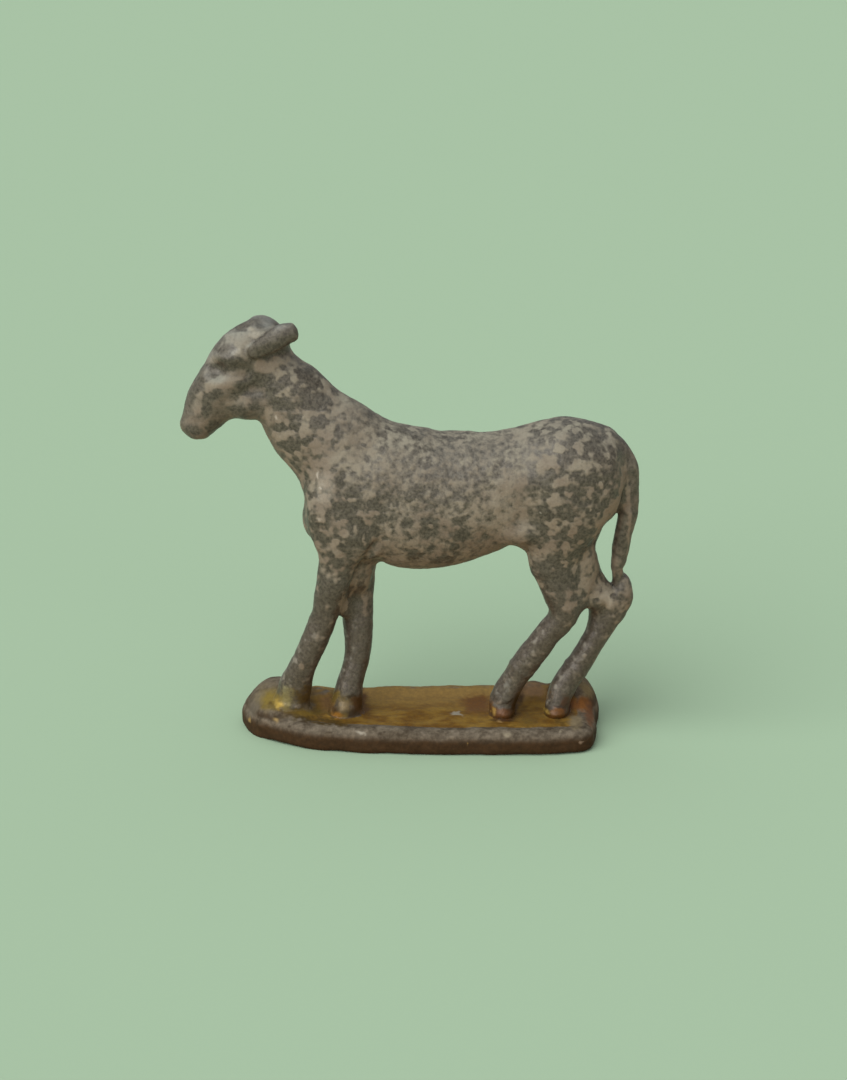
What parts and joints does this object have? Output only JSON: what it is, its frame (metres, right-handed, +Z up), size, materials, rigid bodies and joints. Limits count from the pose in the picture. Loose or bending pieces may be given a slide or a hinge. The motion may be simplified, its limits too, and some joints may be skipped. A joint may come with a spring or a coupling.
{
  "type": "goat figurine",
  "caption": "Cast-metal goat walking on a slab base, hornless, with ears laid back and a long tail; worn pale paint over grey metal. Stands on a shelf or in a toy farm.",
  "frame": {"origin": "middle of the base's flat underside", "axes": "+Z up from the surface the base stands on, +X from the goat's head end to its tail end along the base, +Y across to the far side"},
  "size_m": [0.0453, 0.0136, 0.044],
  "materials": {
    "body_paint": "worn pale oil paint, chipped to grey metal",
    "worn_metal": "mostly bare, dulled grey lead alloy with remains of paint",
    "base_paint": "worn ochre and green paint, rim rubbed to grey metal"
  },
  "bodies": {
    "root": {"base_plate": "base_paint", "torso": "body_paint", "head_and_neck": "body_paint", "near_ear": "worn_metal", "far_ear": "worn_metal", "near_foreleg": "worn_metal", "far_foreleg": "worn_metal", "near_hind_leg": "worn_metal", "far_hind_leg": "worn_metal", "tail": "body_paint"}
  },
  "joints": []
}
